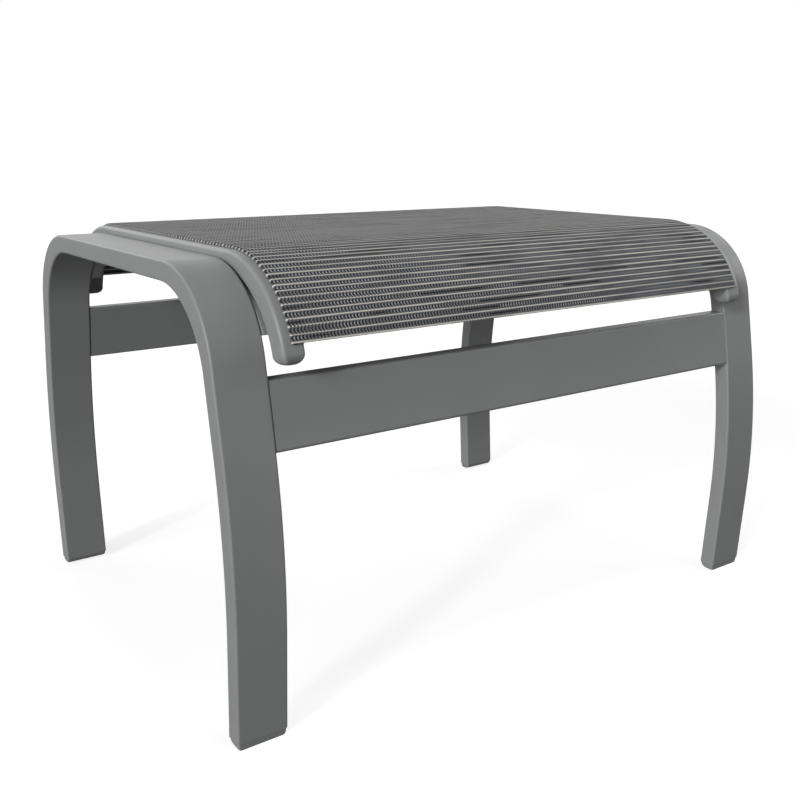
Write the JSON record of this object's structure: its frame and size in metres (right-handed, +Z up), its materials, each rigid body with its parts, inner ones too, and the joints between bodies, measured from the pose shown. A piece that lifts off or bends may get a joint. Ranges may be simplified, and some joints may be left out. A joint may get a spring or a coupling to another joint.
{
  "type": "outdoor ottoman footstool",
  "caption": "Patio ottoman with a woven sling held taut between two curved rails, on bent flat-tube side frames joined by low front and rear stretchers.",
  "frame": {"origin": "on the floor, below the middle of the seat", "axes": "+X along the stretchers to the right side frame as seen from the front, -Y to the front, +Z up"},
  "size_m": [0.7112, 0.5244, 0.4363],
  "materials": {
    "frame_coat": "satin",
    "cap_plastic": "satin",
    "glide_plastic": "matte",
    "plug_plastic": "matte",
    "sling_mesh": "matte",
    "rod_plastic": "satin",
    "screw_steel": "satin"
  },
  "bodies": {
    "root": {"side_frame_left": "frame_coat", "side_frame_right": "frame_coat", "front_stretcher": "frame_coat", "rear_stretcher": "frame_coat", "sling_rail_left": "frame_coat", "sling_rail_right": "frame_coat", "rail_carrier_left": "frame_coat", "rail_carrier_right": "frame_coat", "spreader_bar_front": "frame_coat", "spreader_bar_rear": "frame_coat", "rail_end_cap_front_left": "cap_plastic", "rail_end_cap_front_right": "cap_plastic", "rail_end_cap_rear_left": "cap_plastic", "rail_end_cap_rear_right": "cap_plastic", "foot_glide_front_left": "glide_plastic", "foot_glide_front_right": "glide_plastic", "foot_glide_rear_left": "glide_plastic", "foot_glide_rear_right": "glide_plastic", "spreader_end_plug_front_left": "plug_plastic", "spreader_end_plug_front_right": "plug_plastic", "spreader_end_plug_rear_left": "plug_plastic", "spreader_end_plug_rear_right": "plug_plastic", "sling": "sling_mesh", "spline_rod_left": "rod_plastic", "spline_rod_right": "rod_plastic", "carrier_screw_left_1": "screw_steel", "carrier_screw_left_2": "screw_steel", "carrier_screw_left_3": "screw_steel", "carrier_screw_right_1": "screw_steel", "carrier_screw_right_2": "screw_steel", "carrier_screw_right_3": "screw_steel", "rail_screw_front_left": "screw_steel", "rail_screw_front_right": "screw_steel", "rail_screw_rear_left": "screw_steel", "rail_screw_rear_right": "screw_steel", "spreader_screw_front_left": "screw_steel", "spreader_screw_front_right": "screw_steel", "spreader_screw_rear_left": "screw_steel", "spreader_screw_rear_right": "screw_steel"}
  },
  "joints": []
}
